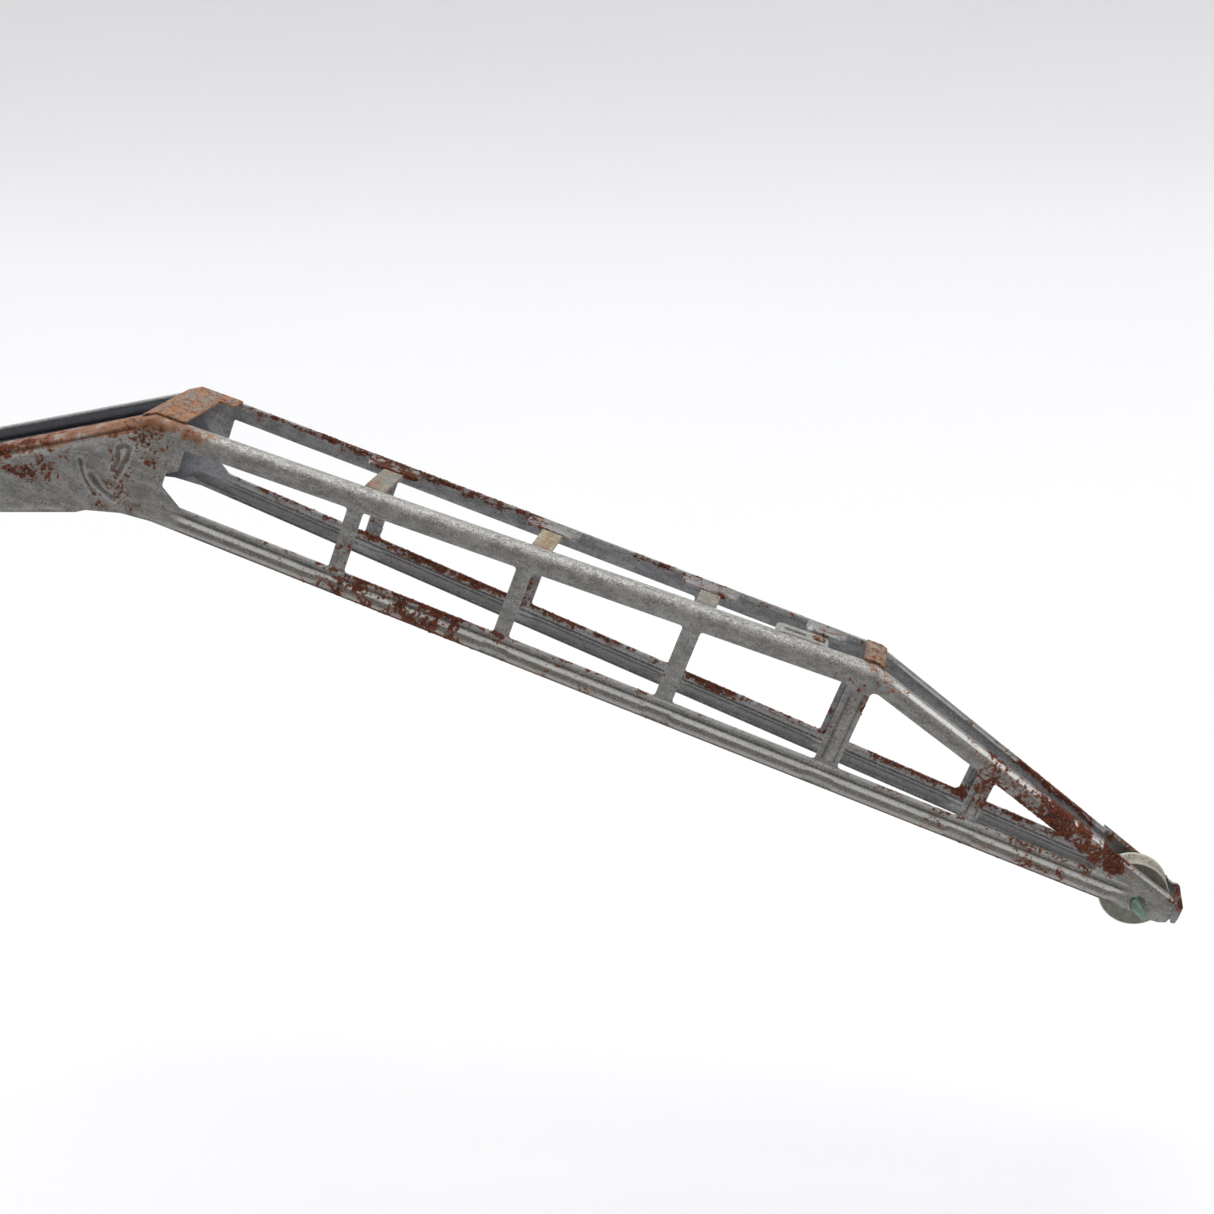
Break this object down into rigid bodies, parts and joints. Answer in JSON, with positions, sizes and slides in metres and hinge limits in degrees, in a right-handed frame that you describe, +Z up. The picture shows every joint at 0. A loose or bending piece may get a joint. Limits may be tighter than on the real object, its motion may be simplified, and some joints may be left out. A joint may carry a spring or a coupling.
{
  "type": "toy crane lattice jib",
  "caption": "Pressed tin lattice jib of a toy railway crane: two tapering side frames joined by cross straps, a bent foot turning on an axle, and a grooved sheave at the head.",
  "frame": {"origin": "on the foot axle's axis, halfway between its two ends", "axes": "+Z up with the foot's lower edge level, +X from the foot towards the head, +Y along the foot axle from the right frame to the left one"},
  "size_m": [0.156, 0.026, 0.0611],
  "materials": {
    "steel_axle": "dull turned steel",
    "steel_bush": "dull turned steel",
    "grey_tin": "satin grey, pitted with rust",
    "rusty_plate": "rust-filmed tin",
    "pale_strap": "chipped pale paint on tin",
    "rivet": "dull, rust-edged",
    "verdigris_wire": "tarnished green",
    "sheave": "dull olive-grey"
  },
  "bodies": {
    "axle": {"foot_axle": "steel_axle"},
    "jib": {"right_foot_bush": "steel_bush", "left_foot_bush": "steel_bush", "right_side_frame": "grey_tin", "left_side_frame": "grey_tin", "knee_plate": "rusty_plate", "rung_1": "pale_strap", "rung_2": "pale_strap", "rung_3": "pale_strap", "anchor_strap": "pale_strap", "anchor_rivet": "rivet", "bend_strap": "pale_strap", "spot_welds": "rivet", "sheave_pin": "verdigris_wire"},
    "sheave": {"right_sheave_half": "sheave", "left_sheave_half": "sheave", "sheave_bush": "sheave"}
  },
  "joints": [
    {"name": "jib_luff", "type": "hinge", "parent": "axle", "child": "jib", "pos_m": [0, 0, 0], "axis": [0, -1, 0], "range_deg": [0, 75]},
    {"name": "sheave_spin", "type": "hinge", "parent": "jib", "child": "sheave", "pos_m": [0.14846, 0.00055, -0.04796], "axis": [0, 1, 0], "continuous": true}
  ]
}
